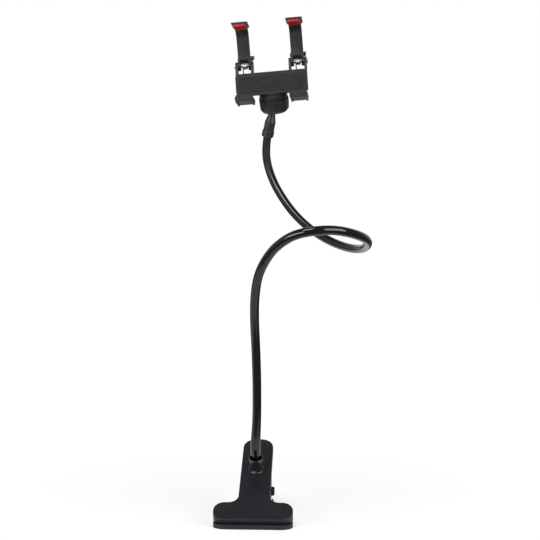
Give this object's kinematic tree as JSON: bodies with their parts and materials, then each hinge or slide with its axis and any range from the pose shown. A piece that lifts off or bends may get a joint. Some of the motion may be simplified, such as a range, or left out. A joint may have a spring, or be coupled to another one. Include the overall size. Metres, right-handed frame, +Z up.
{
  "type": "gooseneck phone holder",
  "caption": "Clip-on phone holder: T-shaped sprung table clamp, bendable gooseneck with one loop, ball joint with collar nut, and a head with two sprung jaw clips.",
  "frame": {"origin": "centre of the clamp's underside, below the clamp hinge", "axes": "+Z up, +X along the clamp hinge to the right as seen from the jaw end, +Y from the jaw end to the handles"},
  "size_m": [0.1342, 0.1893, 0.4503],
  "materials": {
    "clamp_plastic": "matte, finely grained",
    "head_plastic": "satin",
    "sleeve": "glossy soft PVC",
    "core_metal": "plain drawn",
    "steel": "plain",
    "black_steel": "black, satin",
    "red_rubber": "matte",
    "black_rubber": "matte"
  },
  "bodies": {
    "base": {"clamp_lower_jaw": "clamp_plastic", "clamp_lower_pad": "black_rubber", "clamp_hinge_pin": "black_steel", "clamp_pin_cap": "black_steel", "clamp_spring": "steel"},
    "arm": {"clamp_upper_jaw": "clamp_plastic", "clamp_upper_pad": "black_rubber", "neck_socket": "clamp_plastic", "socket_screw": "steel", "gooseneck_core": "core_metal", "gooseneck_sleeve": "sleeve", "ball_stud": "head_plastic"},
    "collar": {"collar_nut": "head_plastic"},
    "head": {"holder_frame": "head_plastic", "back_pad": "black_rubber", "left_lower_pad": "red_rubber", "right_lower_pad": "red_rubber", "left_jaw_pin": "steel", "right_jaw_pin": "steel", "left_jaw_spring": "steel", "right_jaw_spring": "steel"},
    "left_jaw": {"left_upper_jaw": "head_plastic", "left_upper_pad": "red_rubber"},
    "right_jaw": {"right_upper_jaw": "head_plastic", "right_upper_pad": "red_rubber"}
  },
  "joints": [
    {"name": "clamp_open", "type": "hinge", "parent": "base", "child": "arm", "pos_m": [0, 0, 0.0215], "axis": [-1, 0, 0], "range_deg": [0, 45], "stiffness_Nm_per_rad": 0.25, "springref_deg": -34.38, "deforming": ["clamp_spring"]},
    {"name": "head_tilt", "type": "hinge", "parent": "arm", "child": "collar", "pos_m": [0.0123, 0.07758, 0.37501], "axis": [0.997, -0.0348, 0.0698], "range_deg": [-18, 18]},
    {"name": "head_swivel", "type": "hinge", "parent": "collar", "child": "head", "pos_m": [0.0123, 0.07758, 0.37501], "axis": [0.0779, 0.467, -0.8808], "continuous": true},
    {"name": "left_jaw_open", "type": "hinge", "parent": "head", "child": "left_jaw", "pos_m": [-0.01569, 0.07456, 0.41015], "axis": [-0.997, 0.0348, -0.0698], "range_deg": [-14, 32], "stiffness_Nm_per_rad": 0.15, "springref_deg": -28.65, "deforming": ["left_jaw_spring"]},
    {"name": "right_jaw_open", "type": "hinge", "parent": "head", "child": "right_jaw", "pos_m": [0.03486, 0.07279, 0.41369], "axis": [-0.997, 0.0348, -0.0698], "range_deg": [-14, 32], "stiffness_Nm_per_rad": 0.15, "springref_deg": -28.65, "deforming": ["right_jaw_spring"]}
  ]
}
